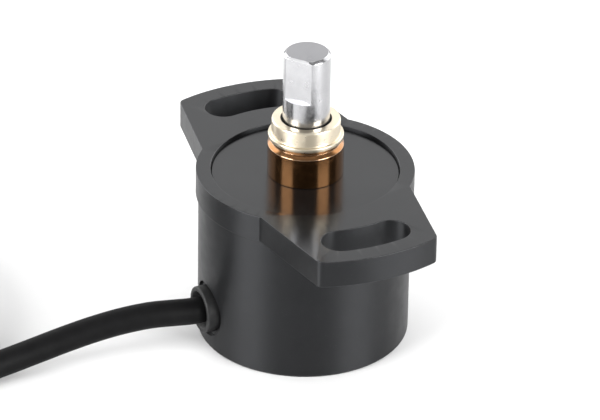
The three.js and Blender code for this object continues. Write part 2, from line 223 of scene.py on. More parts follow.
STEP_OUT = (2.4, 2.6)  # and back to the outer row
TIE_ANGLE = math.radians(250)
TIE_LIFT = 0.45  # the coil lies on its tie, which lifts that side off the floor
TIE_HALF_WIDTH = 1.2
TIE_BAND = 0.36
TIE_CHAMFER = 0.1
TIE_STEPS = 8  # in each of its four bends
TIE_FOOT_CLEARANCE = 0.03
TIE_HEAD_LENGTH = 3.4
TIE_HEAD_HALF_WIDTH = 1.7
TIE_HEAD_TOP = 1.8
TIE_HEAD_EDGE = 0.3

WELD_DISTANCE = 0.002
KEPT_EDGE = 0.05  # bevel on the CAD nodes that stay


# Camera and light

def aimed(location, target, roll=0):
    """The place of a camera or lamp at location that looks at target."""
    turn = (target - location).to_track_quat("-Z", "Y").to_matrix().to_4x4()
    return Matrix.Translation(location) @ turn @ Matrix.Rotation(roll, 4, "Z")


def direction(azimuth, elevation):
    across = math.cos(elevation)
    return Vector((math.sin(azimuth) * across, -math.cos(azimuth) * across, math.sin(elevation)))


def add_object(name, data):
    made = bpy.data.objects.new(name, data)
    bpy.context.scene.collection.objects.link(made)
    return made


def camera():
    lens = bpy.data.cameras.new("camera")
    lens.lens = CAMERA_LENS
    lens.sensor_width = 36
    lens.clip_start = 0.01
    made = add_object("camera", lens)
    place = AIM + CAMERA_DISTANCE * direction(CAMERA_AZIMUTH, CAMERA_ELEVATION)
    made.matrix_world = aimed(place, AIM, CAMERA_ROLL)
    bpy.context.scene.camera = made


def softbox(name, side_angle, elevation, distance, size, radiance):
    """A square area light, placed by its angle to the right of the camera."""
    lamp = bpy.data.lights.new(name, "AREA")
    lamp.shape = "SQUARE"
    lamp.size = size
    lamp.energy = radiance * math.pi * size * size
    made = add_object(name, lamp)
    azimuth = CAMERA_AZIMUTH + math.radians(side_angle)
    place = AIM + distance * direction(azimuth, math.radians(elevation))
    made.matrix_world = aimed(place, AIM)
    made.visible_camera = False


def studio():
    scene = bpy.context.scene
    scene.view_settings.view_transform = "Standard"
    world = bpy.data.worlds.new("studio")
    world.use_nodes = True
    backdrop = world.node_tree.nodes["Background"]
    backdrop.inputs["Color"].default_value = (1, 1, 1, 1)
    backdrop.inputs["Strength"].default_value = WORLD_STRENGTH
    scene.world = world
    for name, settings in SOFTBOXES.items():
        softbox(name, *settings)


# Node materials

def feed(tree, socket, value):
    if isinstance(value, bpy.types.NodeSocket):
        tree.links.new(value, socket)
    elif isinstance(value, tuple) and len(value) == 3 and socket.type == "RGBA":
        socket.default_value = (*value, 1)
    else:
        socket.default_value = value


def node(tree, kind, inputs=None, **settings):
    made = tree.nodes.new("ShaderNode" + kind)
    for key, value in settings.items():
        setattr(made, key, value)
    for key, value in (inputs or {}).items():
        feed(tree, made.inputs[key], value)
    return made


def start(name, **constants):
    """A new material, its tree and its shader, with the shader's constant sockets set."""
    material = bpy.data.materials.new(name)
    material.use_nodes = True
    tree = material.node_tree
    shader = tree.nodes["Principled BSDF"]
    for key, value in constants.items():
        feed(tree, shader.inputs[key.replace("_", " ")], value)
    return material, tree, shader


def place_of(tree):
    return node(tree, "TexCoord").outputs["Object"]


def noise(tree, size, detail=2.0, vector=None, roughness=0.5):
    """Noise from 0 to 1 whose features are about size millimetres."""
    vector = place_of(tree) if vector is None else vector
    inputs = {"Vector": vector, "Scale": 1 / (size * MM), "Detail": detail, "Roughness": roughness}
    return node(tree, "TexNoise", inputs).outputs["Fac"]


def remap(tree, value, low, high, source=(0.3, 0.7)):
    inputs = {
        "Value": value,
        "From Min": source[0],
        "From Max": source[1],
        "To Min": low,
        "To Max": high,
    }
    return node(tree, "MapRange", inputs).outputs["Result"]


def blend(tree, factor, first, second):
    mixed = node(tree, "Mix", data_type="RGBA")
    feed(tree, mixed.inputs["Factor"], factor)
    for socket in mixed.inputs:
        if socket.type == "RGBA":
            feed(tree, socket, first if socket.name == "A" else second)
    return [out for out in mixed.outputs if out.type == "RGBA"][0]


def calculate(tree, operation, first, second):
    return node(tree, "Math", {0: first, 1: second}, operation=operation).outputs[0]


def lathe_marks(tree, pitch):
    """Height of fine turning marks: noise along the radius and the axis, almost none around it."""
    flat = node(tree, "VectorMath", {0: place_of(tree), 1: (1, 1, 0)}, operation="MULTIPLY")
    radius = node(tree, "VectorMath", {0: flat.outputs[0]}, operation="LENGTH")
    height = node(tree, "SeparateXYZ", {"Vector": place_of(tree)}).outputs["Z"]
    around = noise(tree, 9, detail=0)
    drift = calculate(tree, "MULTIPLY", around, 2 * pitch * MM)
    place = node(tree, "CombineXYZ", {"X": radius.outputs["Value"], "Y": drift, "Z": height})
    return noise(tree, pitch, detail=3, vector=place.outputs[0], roughness=0.6)


def bump(tree, height, distance, strength, below=None):
    """A bump of distance millimetres, on top of the bump below."""
    inputs = {"Height": height, "Distance": distance * MM, "Strength": strength}
    if below is not None:
        inputs["Normal"] = below
    return node(tree, "Bump", inputs).outputs["Normal"]


def edge_mask(tree, amount):
    """Broken-up mask of the rounded edges, which each mesh marks in its edge attribute."""
    edge = node(tree, "Attribute", attribute_name="edge").outputs["Fac"]
    patches = remap(tree, noise(tree, 0.5, detail=3), 0.25, 1.0)
    both = calculate(tree, "MULTIPLY", edge, patches)
    return calculate(tree, "MULTIPLY", both, amount)


def facing_up(tree):
    """1 on faces that look up, 0 on the sides."""
    normal = node(tree, "NewGeometry").outputs["Normal"]
    height = node(tree, "SeparateXYZ", {"Vector": normal}).outputs["Z"]
    return remap(tree, height, 0, 1, (0.5, 0.9))


def anodised(name):
    """Black anodising: satin and turned on the sides, polished on top."""
    material, tree, shader = start(
        name, IOR=1.37, Anisotropic=0.8, Anisotropic_Rotation=0.25, Specular_Tint=(0.93, 0.955, 1.0)
    )
    up = facing_up(tree)
    tone = remap(tree, noise(tree, 5, detail=4), 0, 1)
    ground = blend(tree, tone, (0.0032, 0.0033, 0.0036), (0.0052, 0.0052, 0.0055))
    speck = remap(tree, noise(tree, 0.22, detail=2), 0, 1, (0.64, 0.8))
    spotted = blend(tree, speck, ground, (0.014, 0.014, 0.0145))
    colour = blend(tree, edge_mask(tree, 0.4), spotted, (0.06, 0.06, 0.062))
    feed(tree, shader.inputs["Base Color"], colour)
    satin = remap(tree, noise(tree, 1.7, detail=4), 0.39, 0.46)
    polished = remap(tree, noise(tree, 2.5, detail=4), 0.15, 0.21)
    feed(tree, shader.inputs["Roughness"], remap(tree, up, satin, polished, (0, 1)))
    tangent = node(tree, "Tangent", direction_type="RADIAL", axis="Z").outputs[0]
    feed(tree, shader.inputs["Tangent"], tangent)
    grain = remap(tree, up, 0.5, 0.08, (0, 1))
    blasted = bump(tree, noise(tree, 0.09, detail=2), 0.005, grain)
    marks = lathe_marks(tree, 0.16)
    fainter_on_top = remap(tree, up, 0.7, 0.25, (0, 1))
    feed(tree, shader.inputs["Normal"], bump(tree, marks, 0.004, fainter_on_top, blasted))
    return material


def metal(name, base, other, roughness, pitch, depth, edge, patch=3.0, anisotropic=0.5, end=None):
    """A machined metal with turning marks.

    It drifts between the colours base and other; edge is the colour of its rounded edges,
    and end, if given, is painted shade: a darker colour on the faces that look up."""
    material, tree, shader = start(
        name, Metallic=1.0, Anisotropic=anisotropic, Anisotropic_Rotation=0.25
    )
    tone = remap(tree, noise(tree, patch, detail=5), 0, 1)
    marks = lathe_marks(tree, pitch)
    ground = blend(tree, tone, base, other)
    # Painted shade: the faces that look up are blended to the darker end colour.
    if end is not None:
        ground = blend(tree, facing_up(tree), ground, end)
    colour = blend(tree, edge_mask(tree, 0.6), ground, edge)
    feed(tree, shader.inputs["Base Color"], colour)
    scuffs = remap(tree, noise(tree, 0.8, detail=4), roughness[0], roughness[1])
    feed(tree, shader.inputs["Roughness"], scuffs)
    tangent = node(tree, "Tangent", direction_type="RADIAL", axis="Z").outputs[0]
    feed(tree, shader.inputs["Tangent"], tangent)
    fine = bump(tree, noise(tree, 0.05, detail=2), 0.0012, 0.5)
    feed(tree, shader.inputs["Normal"], bump(tree, marks, depth, 0.8, fine))
    return material


def bronze(name):
    return metal(name, (0.26, 0.125, 0.05), (0.31, 0.155, 0.068), (0.16, 0.23), 0.13, 0.004,
                 edge=(0.78, 0.62, 0.48), patch=6)


def nickel(name):
    return metal(name, (0.70, 0.62, 0.48), (0.62, 0.55, 0.43), (0.26, 0.38), 0.11, 0.005,
                 edge=(0.9, 0.83, 0.68))


def stainless(name):
    # The end colour is painted shade, darkening the faces that look up.
    return metal(name, (0.45, 0.45, 0.46), (0.39, 0.39, 0.4), (0.18, 0.28), 0.07, 0.0022,
                 edge=(0.78, 0.78, 0.79), end=(0.25, 0.25, 0.26))


def spring_steel(name):
    return metal(name, (0.16, 0.165, 0.175), (0.24, 0.245, 0.25), (0.3, 0.45), 0.1, 0.003,
                 edge=(0.5, 0.5, 0.5), patch=1.2)


def brass(name):
    return metal(name, (0.64, 0.47, 0.2), (0.56, 0.4, 0.16), (0.2, 0.34), 0.12, 0.005,
                 edge=(0.8, 0.66, 0.36))


def ferrite(name):
    return metal(name, (0.09, 0.09, 0.1), (0.14, 0.14, 0.15), (0.38, 0.55), 0.3, 0.002,
                 edge=(0.2, 0.2, 0.21), patch=0.6, anisotropic=0.0)


def moulded(name, base, other, roughness, grain=0.12, depth=0.008, edge_lift=0.2, ior=1.4):
    """A moulded rubber or plastic with a fine skin."""
    material, tree, shader = start(name, IOR=ior)
    patch = 2.0
    tone = remap(tree, noise(tree, patch, detail=4), 0, 1)
    ground = blend(tree, tone, base, other)
    pale = tuple(min(1, channel + 0.12) for channel in other)
    feed(tree, shader.inputs["Base Color"], blend(tree, edge_mask(tree, edge_lift), ground, pale))
    feed(tree, shader.inputs["Roughness"], remap(tree, noise(tree, patch / 3, detail=4), *roughness))
    skin = bump(tree, noise(tree, grain, detail=3), depth, 0.6)
    wavy = bump(tree, noise(tree, 10 * grain, detail=1), 2 * depth, 0.3, skin)
    feed(tree, shader.inputs["Normal"], wavy)
    return material


def rubber(name):
    return moulded(name, (0.004, 0.004, 0.0043), (0.008, 0.008, 0.0083), (0.5, 0.64), edge_lift=0.12)


def jacket(name):
    return moulded(name, (0.002, 0.002, 0.0022), (0.004, 0.004, 0.0042), (0.52, 0.62), grain=0.2,
                   depth=0.012, edge_lift=0, ior=1.2)


def nylon(name):
    return moulded(name, (0.012, 0.012, 0.012), (0.02, 0.02, 0.02), (0.38, 0.5), grain=0.18)


def epoxy(name):
    return moulded(name, (0.013, 0.013, 0.014), (0.022, 0.022, 0.023), (0.5, 0.65), grain=0.05)


def insulation(name, base, other):
    return moulded(name, base, other, (0.28, 0.4), grain=0.15, depth=0.004, edge_lift=0.0)


def ceramic(name):
    """Fired tan ceramic with tinned metal at the two ends along Y."""
    material, tree, shader = start(name)
    tone = remap(tree, noise(tree, 0.3, detail=3), 0, 1)
    body = blend(tree, tone, (0.30, 0.2, 0.12), (0.38, 0.26, 0.16))
    generated = node(tree, "TexCoord").outputs["Generated"]
    along = node(tree, "SeparateXYZ", {"Vector": generated}).outputs["Y"]
    middle = calculate(tree, "ABSOLUTE", calculate(tree, "SUBTRACT", along, 0.5), 0)
    tinned = remap(tree, middle, 0, 1, (0.27, 0.29))
    feed(tree, shader.inputs["Base Color"], blend(tree, tinned, body, (0.7, 0.7, 0.68)))
    feed(tree, shader.inputs["Metallic"], tinned)
    feed(tree, shader.inputs["Roughness"], remap(tree, noise(tree, 0.15), 0.35, 0.5))
    feed(tree, shader.inputs["Normal"], bump(tree, noise(tree, 0.08), 0.004, 0.5))
    return material


def board(name):
    """Green solder mask over a faint glass weave."""
    material, tree, shader = start(name, IOR=1.5)
    weave = []
    for axis in ("X", "Y"):
        inputs = {"Vector": place_of(tree), "Scale": 1 / (2.4 * MM)}
        wave = node(tree, "TexWave", inputs, bands_direction=axis, wave_profile="SIN")
        weave.append(wave.outputs["Fac"])
    woven = calculate(tree, "MULTIPLY", weave[0], weave[1])
    patches = remap(tree, noise(tree, 1.1, detail=3), 0, 1)
    mask = blend(tree, patches, (0.012, 0.09, 0.035), (0.02, 0.13, 0.05))
    threads = remap(tree, woven, 0, 0.35, (0, 1))
    feed(tree, shader.inputs["Base Color"], blend(tree, threads, mask, (0.04, 0.2, 0.08)))
    feed(tree, shader.inputs["Roughness"], remap(tree, noise(tree, 0.5, detail=3), 0.25, 0.4))
    feed(tree, shader.inputs["Normal"], bump(tree, woven, 0.01, 0.4))
    return material


def floor_material():
    material, tree, shader = start("studio_floor", Roughness=0.6)
    paper = remap(tree, noise(tree, 40, detail=4), 0, 1)
    feed(tree, shader.inputs["Base Color"], blend(tree, paper, (0.72, 0.72, 0.72), (0.75, 0.75, 0.75)))
    feed(tree, shader.inputs["Normal"], bump(tree, noise(tree, 1.5, detail=3), 0.02, 0.1))
    return material


MAKERS = {
    "anodised_black": anodised,
    "bronze": bronze,
    "nickel": nickel,
    "stainless": stainless,
    "spring_steel": spring_steel,
    "rubber_black": rubber,
    "brass": brass,
    "ferrite": ferrite,
    "board_green": board,
    "chip_black": epoxy,
    "ceramic_tan": ceramic,
    "cable_black": jacket,
    "tie_black": nylon,
    "wire_red": lambda name: insulation(name, (0.42, 0.018, 0.015), (0.5, 0.03, 0.022)),
    "wire_black": lambda name: insulation(name, (0.012, 0.012, 0.013), (0.02, 0.02, 0.021)),
    "wire_white": lambda name: insulation(name, (0.68, 0.67, 0.62), (0.75, 0.74, 0.7)),
}
materials = {slot: make(slot) for slot, make in MAKERS.items()}
replaced = set()  # CAD nodes that a piece stands for


# Mesh code

def polar(radius, angle):
    return Vector((radius * math.cos(angle), radius * math.sin(angle)))


def rounded(enter, corner, leave, t):
    """The point at t, from 0 to 1, on the curve that rounds a corner."""
    return enter * (1 - t) ** 2 + corner * 2 * t * (1 - t) + leave * t * t


def soften(outline, closed):
    """Rounds each corner of an outline of (radius, height, setback).

    Gives points with how far each lies into a rounded corner, from 0 to 1."""
    points = []
    last = len(outline) - 1
    for i, (radius, height, setback) in enumerate(outline):
        here = Vector((radius, height))
        if setback == 0 or (not closed and i in (0, last)):
            points.append((here, 0.0))
            continue
        before = Vector(outline[i - 1][:2])
        after = Vector(outline[(i + 1) % (last + 1)][:2])
        enter = here + (before - here).normalized() * setback
        leave = here + (after - here).normalized() * setback
        for step in range(CORNER_STEPS + 1):
            t = step / CORNER_STEPS
            points.append((rounded(enter, here, leave, t), 4 * t * (1 - t)))
    return points


def made_piece(name, grown, nodes, body="body", slot=None):
    """Turns a bmesh in millimetres into a piece that stands for the CAD nodes, if any."""
    bmesh.ops.recalc_face_normals(grown, faces=grown.faces)
    mesh = bpy.data.meshes.new(name)
    grown.to_mesh(mesh)
    grown.free()
    mesh.transform(Matrix.Scale(MM, 4))
    made = add_object(name, mesh)
    dress(made, nodes, body, slot)
    mesh.shade_smooth()
    mesh.set_sharp_from_angle(angle=SHARP_ANGLE)
    made.modifiers.new("weighted_normals", "WEIGHTED_NORMAL").keep_sharp = True
    return made


def dress(made, nodes, body="body", slot=None):
    """Gives a piece its slot's material and its body, and hides and notes the CAD nodes it replaces.
    """
    slot = slot or slot_of[nodes[0]]
    made.data.materials.append(materials[slot])
    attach(made, body)
    if nodes:
        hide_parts(*nodes)
        replaced.update(nodes)


def revolve(outline, closed=True, turn=None, segments=SEGMENTS):
    """A bmesh turned about Z, from an outline of (radius, height, setback) in millimetres."""
    grown = bmesh.new()
    edge = grown.verts.layers.float.new("edge")
    rings = []
    for point, weight in soften(outline, closed):
        count = 1 if point.x < 1e-6 else segments
        ring = []
        for k in range(count):
            angle = 2 * math.pi * k / segments
            vertex = grown.verts.new((point.x * math.cos(angle), point.x * math.sin(angle), point.y))
            vertex[edge] = weight
            ring.append(vertex)
        rings.append(ring)
    pairs = list(zip(rings, rings[1:]))
    if closed:
        pairs.append((rings[-1], rings[0]))
    for lower, upper in pairs:
        join_rings(grown, lower, upper)
    if turn is not None:
        bmesh.ops.transform(grown, matrix=turn, verts=grown.verts)
    return grown


def join_rings(grown, lower, upper):
    count = max(len(lower), len(upper))
    for k in range(count):
        follow = (k + 1) % count
        if len(lower) == 1:
            face = (lower[0], upper[follow], upper[k])
        elif len(upper) == 1:
            face = (lower[k], lower[follow], upper[0])
        else:
            face = (lower[k], lower[follow], upper[follow], upper[k])
        grown.faces.new(face)


# Places a turned piece with its axis outward along -Y, at the cable's height
ALONG_CABLE = Matrix.Translation((0, 0, CABLE_Z)) @ Matrix.Rotation(math.pi / 2, 4, "X")


def housing():
    inner = BODY_R - WALL
    mouth = cap_high.x + MOUTH_CLEARANCE
    bore = BUSH_PRESS_R + CLEARANCE
    shelf = cap_high.z + CLEARANCE
    groove_r = mouth + RING_GROOVE_DEPTH
    groove_top = ring_high.z + CLEARANCE
    groove_foot = ring_low.z - CLEARANCE
    outline = [
        (BODY_R, 0, FOOT_EDGE),
        (BODY_R, SHOULDER_Z, 0.08),
        (SPIGOT_R, SHOULDER_Z, 0),
        (SPIGOT_R, SPIGOT_TOP, 0.2),
        (bore, SPIGOT_TOP, 0.05),
        (bore, HUB_FOOT, 0.05),
        (HUB_R, HUB_FOOT, 0.3),
        (HUB_R, CEILING_Z, 0.3),
        (inner, CEILING_Z, 0.5),
        (inner, shelf, 0.05),
        (mouth, shelf, 0.05),
        (mouth, groove_top, 0.05),
        (groove_r, groove_top, 0),
        (groove_r, groove_foot, 0),
        (mouth, groove_foot, 0.05),
        (mouth, 0, 0.12),
    ]
    made = made_piece("case_body", revolve(outline), ["housing"])
    for angle in LUG_ANGLES:
        screw_lug(made, Matrix.Translation((*polar(LUG_RING_R, angle), 0)))
    reshape(made, rod(PORT_R, INSIDE_WALL, OUTSIDE_WALL, ALONG_CABLE), "DIFFERENCE")
    reshape(made, rod(SEAT_R, GLAND_SEAT, OUTSIDE_WALL, ALONG_CABLE), "DIFFERENCE")


def screw_lug(made, place):
    """Adds a lug for a board screw under the ceiling, with its hole."""
    foot = board_high.z + CLEARANCE
    reshape(made, rod(LUG_R, foot, CEILING_Z + LUG_OVERLAP, place), "UNION")
    hole = rod(SCREW_R + SCREW_CLEARANCE, foot - 1, foot + SCREW_DEPTH, place)
    reshape(made, hole, "DIFFERENCE")


def rod(radius, foot, top, place):
    """A bmesh of a solid cylinder, used to shape another piece."""
    outline = [(0, foot, 0), (radius, foot, 0), (radius, top, 0), (0, top, 0)]
    return revolve(outline, closed=False, turn=place, segments=ROD_SEGMENTS)


def reshape(made, tool, operation):
    """Joins or cuts the closed bmesh tool, in millimetres, with a piece."""
    bmesh.ops.recalc_face_normals(tool, faces=tool.faces)
    mesh = bpy.data.meshes.new("tool")
    tool.to_mesh(mesh)
    tool.free()
    mesh.transform(Matrix.Scale(MM, 4))
    helper = add_object("tool", mesh)
    change = made.modifiers.new("change", "BOOLEAN")
    change.operation = operation
    change.solver = "EXACT"
    change.object = helper
    with bpy.context.temp_override(object=made, active_object=made):
        bpy.ops.object.modifier_move_to_index(modifier=change.name, index=0)
        bpy.ops.object.modifier_apply(modifier=change.name)
    bpy.data.objects.remove(helper)
    bpy.data.meshes.remove(mesh)


def arc(radius, start_angle, end_angle, steps, centre=Vector((0, 0))):
    """Points on an arc, without its last one."""
    span = end_angle - start_angle
    return [centre + polar(radius, start_angle + span * k / steps) for k in range(steps)]


def ear_corner(turn, side):
    tip = polar(EAR_R, turn + side * EAR_HALF_ANGLE)
    root = polar(FLANGE_R, turn + side * EAR_ROOT_ANGLE)
    on_side = tip + (root - tip).normalized() * EAR_CORNER
    on_tip = polar(EAR_R, turn + side * (EAR_HALF_ANGLE - EAR_CORNER / EAR_R))
    steps = 8
    return [rounded(on_side, tip, on_tip, k / steps) for k in range(steps + 1)]


def ear_outline(turn):
    """Half of the flange outline, around one ear."""
    tip_arc = EAR_HALF_ANGLE - EAR_CORNER / EAR_R
    half_pi = math.pi / 2
    return (
        arc(FLANGE_R, turn - half_pi, turn - EAR_ROOT_ANGLE, 28)
        + [polar(FLANGE_R, turn - EAR_ROOT_ANGLE)]
        + ear_corner(turn, -1)
        + arc(EAR_R, turn - tip_arc, turn + tip_arc, 36)[1:]
        + ear_corner(turn, 1)[::-1]
        + arc(FLANGE_R, turn + EAR_ROOT_ANGLE, turn + half_pi, 28)
    )


def slot_outline(turn):
    low, high = turn - SLOT_HALF_ANGLE, turn + SLOT_HALF_ANGLE
    return (
        arc(SLOT_R + SLOT_HALF_WIDTH, low, high, 24)
        + arc(SLOT_HALF_WIDTH, high, high + math.pi, 32, polar(SLOT_R, high))
        + arc(SLOT_R - SLOT_HALF_WIDTH, high, low, 24)
        + arc(SLOT_HALF_WIDTH, low + math.pi, low + 2 * math.pi, 32, polar(SLOT_R, low))
    )


def inset(points, amount):
    """A closed outline moved inward, or outward for a hole, by its corner bisectors."""
    moved = []
    count = len(points)
    for k, here in enumerate(points):
        before = (here - points[k - 1]).normalized()
        after = (points[(k + 1) % count] - here).normalized()
        normal = Vector((-(before.y + after.y), before.x + after.x)).normalized()
        reach = amount / max(0.5, math.sqrt((1 + before.dot(after)) / 2))
        moved.append(here + normal * reach)
    return moved


def sheet_metal(outlines, foot, top, edge_size):
    """A bmesh of a flat piece with rounded edges.

    The first outline is its outside, and the others are its holes."""
    grown = bmesh.new()
    edge = grown.verts.layers.float.new("edge")
    profile = []
    for k in range(CORNER_STEPS + 1):
        turn = math.pi / 2 * k / CORNER_STEPS
        inward = edge_size * (1 - math.sin(turn))
        height = foot + edge_size * (1 - math.cos(turn))
        profile.append((inward, height, math.sin(2 * turn)))
    profile += [(x, foot + top - z, weight) for x, z, weight in reversed(profile)]
    rims = {foot: [], top: []}
    for outline in outlines:
        rings = []
        for amount, height, weight in profile:
            ring = [grown.verts.new((*point, height)) for point in inset(outline, amount)]
            for vertex in ring:
                vertex[edge] = weight
            rings.append(ring)
        for lower, upper in zip(rings, rings[1:]):
            join_rings(grown, lower, upper)
        rims[foot].append(rings[0])
        rims[top].append(rings[-1])
    for rings in rims.values():
        edges = []
        for ring in rings:
            edges += [grown.edges.get((a, b)) for a, b in zip(ring, ring[1:] + ring[:1])]
        bmesh.ops.triangle_fill(grown, edges=edges, use_beauty=True, use_dissolve=False)
    return grown


def mounting_flange():
    outer = ear_outline(0) + ear_outline(math.pi)
    hole = [polar(SPIGOT_R + CLEARANCE, -2 * math.pi * k / SEGMENTS) for k in range(SEGMENTS)]
    slots = [slot_outline(0)[::-1], slot_outline(math.pi)[::-1]]
    grown = sheet_metal([outer, hole, *slots], flange_low.z, flange_high.z, FLANGE_EDGE)
    made_piece("flange_plate", grown, ["mounting_flange"])


def bearing_bush():
    bore = SHAFT_R + RUNNING
    boss_foot = SPIGOT_TOP + SEATING
    outline = [
        (BUSH_PRESS_R, bush_low.z, 0.3),
        (BUSH_PRESS_R, boss_foot, 0),
        (BUSH_R, boss_foot, 0.1),
        (BUSH_R, NECK_FOOT - BUSH_LIP, 0.06),
        (BUSH_R - BUSH_LIP, NECK_FOOT, 0.06),
        (BUSH_PRESS_R, NECK_FOOT, 0.04),
        (BUSH_PRESS_R, bush_high.z, 0.05),
        (SEAL_POCKET_R, bush_high.z, 0.05),
        (SEAL_POCKET_R, SEAL_POCKET_FOOT, 0.05),
        (bore, SEAL_POCKET_FOOT, 0.1),
        (bore, bush_low.z, 0.2),
    ]
    made_piece("bronze_bush", revolve(outline), ["bearing_bush"])


def seal_case():
    pressed_r = SEAL_POCKET_R - SEAL_PRESS_CLEARANCE
    brim_foot = bush_high.z + SEATING
    outline = [
        (pressed_r, case_low.z, 0.05),
        (pressed_r, brim_foot, 0),
        (BRIM_R, brim_foot, 0.08),
        (BRIM_R, BRIM_TOP, 0.14),
        (CASE_R, BRIM_TOP, 0.12),
        (CASE_R, case_high.z, 0.25),
        (RIM_BORE_R, case_high.z, 0.08),
        (RIM_BORE_R, case_high.z - RIM_THICK, 0.05),
        (SEAL_BORE_R, case_high.z - RIM_THICK, 0.05),
        (SEAL_BORE_R, case_low.z, 0.05),
    ]
    made_piece("seal_shell", revolve(outline), ["seal_case"])


def shaft_seal():
    """The rubber in the seal case, with a lip around the shaft at each end."""
    lip = SHAFT_R + RUNNING
    outer = SEAL_BORE_R - CLEARANCE
    waist = lip + 0.15
    low, high = seal_low.z, case_high.z - RIM_THICK - CLEARANCE
    outline = [
        (outer, low, 0.05),
        (outer, high, 0.12),
        (lip, high - 0.15, 0.05),
        (lip, high - 0.55, 0.05),
        (waist, high - 0.85, 0.1),
        (waist, low + 1, 0.1),
        (lip, low + 0.7, 0.05),
        (lip, low, 0.05),
    ]
    made_piece("lip_seal", revolve(outline), ["shaft_seal"])


def flattened(grown):
    """Presses everything above the foot of the D flat back to the plane of the flat."""
    normal = polar(1, FLAT_ANGLE).to_3d()
    for vertex in grown.verts:
        beyond = vertex.co.dot(normal) - FLAT_REACH
        if beyond > 0 and vertex.co.z > FLAT_FOOT + 1e-4:
            vertex.co -= normal * beyond


def shaft():
    low, high = shaft_low.z, shaft_high.z
    grooves = []
    for foot in CLIP_GROOVE_FEET:
        top = foot + CLIP_GROOVE_HEIGHT
        grooves += [(SHAFT_R, foot, 0.04), (CLIP_GROOVE_R, foot, 0.08)]
        grooves += [(CLIP_GROOVE_R, top, 0.08), (SHAFT_R, top, 0.04)]
    outline = [
        (0, low, 0),
        (SHAFT_R, low, 0.3),
        *grooves,
        (SHAFT_R, FLAT_FOOT, 0),
        (SHAFT_R, FLAT_FOOT + 2e-4, 0),
        (SHAFT_R, high - SHAFT_EDGE, 0.08),
        (SHAFT_R - SHAFT_EDGE, high, 0.08),
        (0, high, 0),
    ]
    grown = revolve(outline, closed=False, segments=2 * SEGMENTS)
    flattened(grown)
    made_piece("d_shaft", grown, ["shaft"], "rotor")


def cable_gland():
    bore = CABLE_R + RUNNING
    neck_r = PORT_R - CLEARANCE
    collar_foot = GLAND_SEAT + CLEARANCE
    outline = [
        (neck_r, GLAND_FOOT, 0.1),
        (neck_r, collar_foot, 0),
        (GLAND_R, collar_foot, 0),
        (GLAND_R, GLAND_FACE, 0.3),
        (GLAND_R - 0.6, GLAND_FACE, 0.15),
        (CABLE_R + 0.3, GLAND_FACE - 1, 0.2),
        (bore, GLAND_FACE - 1.1, 0.05),
        (bore, GLAND_FOOT, 0.05),
    ]
    return made_piece("strain_relief", revolve(outline, turn=ALONG_CABLE), ["cable_gland"])


def base_closure():
    groove_r = cap_high.x - O_RING_GROOVE_DEPTH
    dimple_top = cap_low.z + DIMPLE_DEPTH
    outline = [
        (0, dimple_top, 0),
        (DIMPLE_R, dimple_top, 0.15),
        (DIMPLE_RIM_R, cap_low.z, 0.15),
        (cap_high.x, cap_low.z, 0.2),
        (cap_high.x, O_RING_GROOVE_FOOT, 0.05),
        (groove_r, O_RING_GROOVE_FOOT, 0.05),
        (groove_r, O_RING_GROOVE_TOP, 0.05),
        (cap_high.x, O_RING_GROOVE_TOP, 0.05),
        (cap_high.x, cap_high.z, 0.1),
        (0, cap_high.z, 0),
    ]
    made_piece("closing_disc", revolve(outline, closed=False), ["base_cap"])


# Cables

def smooth_route(route):
    """Centripetal Catmull-Rom points through a route."""
    points = [Vector(p) for p in route]
    points = [2 * points[0] - points[1], *points, 2 * points[-1] - points[-2]]
    fine = []
    for four in zip(points, points[1:], points[2:], points[3:]):
        knots = [0.0]
        for a, b in zip(four, four[1:]):
            knots.append(knots[-1] + math.sqrt((b - a).length))
        for k in range(ROUTE_STEPS):
            t = knots[1] + (knots[2] - knots[1]) * k / ROUTE_STEPS
            fine.append(catmull_point(four, knots, t))
    fine.append(points[-2])
    return fine


def catmull_point(points, knots, t):
    """The point at t between the middle two of four points, mixed from neighbours in three rounds."""
    for spans in (((0, 1), (1, 2), (2, 3)), ((0, 2), (1, 3)), ((1, 2),)):
        mixed = []
        for a, b, (first, last) in zip(points, points[1:], spans):
            share = (t - knots[first]) / (knots[last] - knots[first])
            mixed.append(a * (1 - share) + b * share)
        points = mixed
    return points[0]


def ease(value, low, high):
    share = min(1, max(0, (value - low) / (high - low)))
    return share * share * (3 - 2 * share)


def coil_route():
    """The coil's turns, clockwise: outer bottom, inner bottom, inner top, outer top."""
    points = []
    steps = round(COIL_TURNS * COIL_STEPS)
    for k in range(steps + 1):
        turn = COIL_TURNS * k / steps
        angle = -2 * math.pi * turn
        inward = ease(turn, *STEP_IN) - ease(turn, *STEP_OUT)
        radius = COIL_OUTER - inward * (COIL_OUTER - COIL_INNER)
        upward = ease(turn, *STEP_UP)
        lift = TIE_LIFT * (1 + math.cos(angle - TIE_ANGLE)) / 2
        x, y = polar(radius, angle)
        points.append((COIL_X + x, COIL_Y + y, CABLE_R + lift + upward * 2 * CABLE_R))
    return points


def curve_piece(name, points, radius, nodes):
    curve = bpy.data.curves.new(name, "CURVE")
    curve.dimensions = "3D"
    curve.bevel_depth = radius * MM
    curve.bevel_resolution = 7
    curve.use_fill_caps = True
    spline = curve.splines.new("POLY")
    spline.points.add(len(points) - 1)
    for target, point in zip(spline.points, points):
        target.co = (*(Vector(point) * MM), 1)
    made = add_object(name, curve)
    dress(made, nodes)
    return made


def whole_cable():
    coil = coil_route()
    points = smooth_route([*LEAD_ROUTE, coil[0]])[:-1]
    points += [Vector(p) for p in coil]
    points += smooth_route([coil[-1], *TAIL_ROUTE])[1:]
    return curve_piece("sensor_cable", points, CABLE_R, ["cable_lead", "cable_coil", "cable_tail"])


